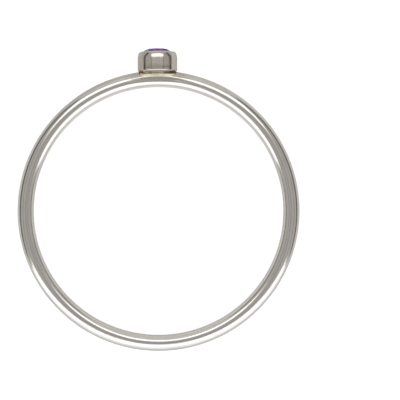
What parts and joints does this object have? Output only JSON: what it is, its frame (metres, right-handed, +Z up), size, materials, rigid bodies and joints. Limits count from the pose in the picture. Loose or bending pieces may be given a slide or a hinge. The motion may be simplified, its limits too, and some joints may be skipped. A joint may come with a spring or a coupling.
{
  "type": "stacking ring",
  "caption": "Thin round-wire stacking ring with a small faceted round stone set in a plain bezel cup, lying on its side.",
  "frame": {"origin": "centre of the finger hole, on the centre line of the wire, with the ring lying on its side", "axes": "+Y from the finger hole's centre to the stone, +Z up from the surface the ring lies on; the plane of the band leans 2.4 degrees about X, because the cup lifts the stone's side"},
  "size_m": [0.0196, 0.0211, 0.0028],
  "materials": {
    "silver": "polished silver, slightly warm, with fine handling scratches and darker solder at the joint",
    "purple_stone": "clear violet to lilac, cut with flat polished facets"
  },
  "bodies": {
    "root": {"band_and_bezel": "silver", "stone": "purple_stone"}
  },
  "joints": []
}
